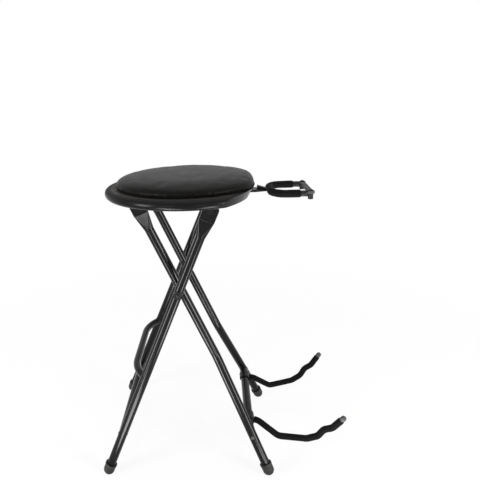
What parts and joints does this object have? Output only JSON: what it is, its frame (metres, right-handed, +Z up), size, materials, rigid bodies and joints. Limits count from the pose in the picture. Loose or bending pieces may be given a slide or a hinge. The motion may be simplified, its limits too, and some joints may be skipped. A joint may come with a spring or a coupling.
{
  "type": "folding guitar stool",
  "caption": "Folding stool with a round padded seat on crossed tube legs, a footrest, and a foam-covered cradle and neck holder behind the seat.",
  "frame": {"origin": "on the floor under the middle of the outline", "axes": "+Z up, +X from the footrest at the front towards the cradle at the back, +Y towards the sitter's right"},
  "size_m": [0.5137, 0.342, 0.6347],
  "materials": {
    "black_steel": "satin black powder coat on steel",
    "rubber": "matt black rubber",
    "foam": "matt black closed-cell foam",
    "strap": "dark grey rubber",
    "vinyl": "black leather-look vinyl with a soft sheen",
    "plastic": "satin black moulded plastic",
    "board": "plywood stained black",
    "zinc": "bright zinc-plated steel"
  },
  "bodies": {
    "front_frame": {"front_leg_left": "black_steel", "front_leg_right": "black_steel", "front_crossbar": "black_steel", "footrest": "black_steel", "front_foot_left": "rubber", "front_foot_right": "rubber", "pivot_rivet_left": "black_steel", "pivot_rivet_right": "black_steel", "pivot_spacer_left": "black_steel", "pivot_spacer_right": "black_steel", "seat_pin_left": "black_steel", "seat_pin_right": "black_steel"},
    "rear_frame": {"rear_leg_left": "black_steel", "rear_leg_right": "black_steel", "rear_crossbar": "black_steel", "rest_rod": "black_steel", "rear_foot_left": "rubber", "rear_foot_right": "rubber", "small_rivet_left": "zinc", "small_rivet_right": "zinc", "cradle_stop_left": "black_steel", "cradle_stop_right": "black_steel"},
    "seat": {"seat_cushion": "vinyl", "seat_board": "board", "seat_rim": "plastic", "hinge_bracket_left": "black_steel", "hinge_bracket_right": "black_steel", "rest_hook_left": "black_steel", "rest_hook_right": "black_steel", "guide_pad": "plastic", "neck_guide": "black_steel", "lock_knob": "plastic"},
    "neck_holder": {"neck_bar": "black_steel", "neck_stop": "zinc", "yoke_rod": "black_steel", "yoke_foam": "foam", "yoke_peg_left": "plastic", "yoke_peg_right": "plastic"},
    "strap": {"retaining_strap": "strap"},
    "cradle_left": {"cradle_collar_left": "black_steel", "cradle_rod_left": "black_steel", "cradle_foam_left": "foam", "cradle_tip_left": "plastic"},
    "cradle_right": {"cradle_collar_right": "black_steel", "cradle_rod_right": "black_steel", "cradle_foam_right": "foam", "cradle_tip_right": "plastic"}
  },
  "joints": [
    {"name": "fold", "type": "hinge", "parent": "front_frame", "child": "rear_frame", "pos_m": [-0.08286, 0, 0.41], "axis": [0, 1, 0], "range_deg": [0, 42.6]},
    {"name": "seat_tilt", "type": "hinge", "parent": "front_frame", "child": "seat", "pos_m": [-0.01626, 0, 0.57237], "axis": [0, 1, 0], "range_deg": [0, 106.5]},
    {"name": "neck_slide", "type": "slide", "parent": "seat", "child": "neck_holder", "axis": [-1, 0, 0], "range_m": [0, 0.085]},
    {"name": "strap_swing", "type": "hinge", "parent": "neck_holder", "child": "strap", "pos_m": [0.17724, 0.049, 0.59637], "axis": [0, 0, 1], "range_deg": [0, 110]},
    {"name": "cradle_fold_left", "type": "hinge", "parent": "rear_frame", "child": "cradle_left", "pos_m": [0.05925, -0.078, 0.09673], "axis": [0, -1, 0], "range_deg": [0, 100]},
    {"name": "cradle_fold_right", "type": "hinge", "parent": "rear_frame", "child": "cradle_right", "pos_m": [0.05925, 0.078, 0.09673], "axis": [0, -1, 0], "range_deg": [0, 100]}
  ],
  "couplings": [
    {"joint": "seat_tilt", "follows": "fold", "ratio": 2.5}
  ]
}
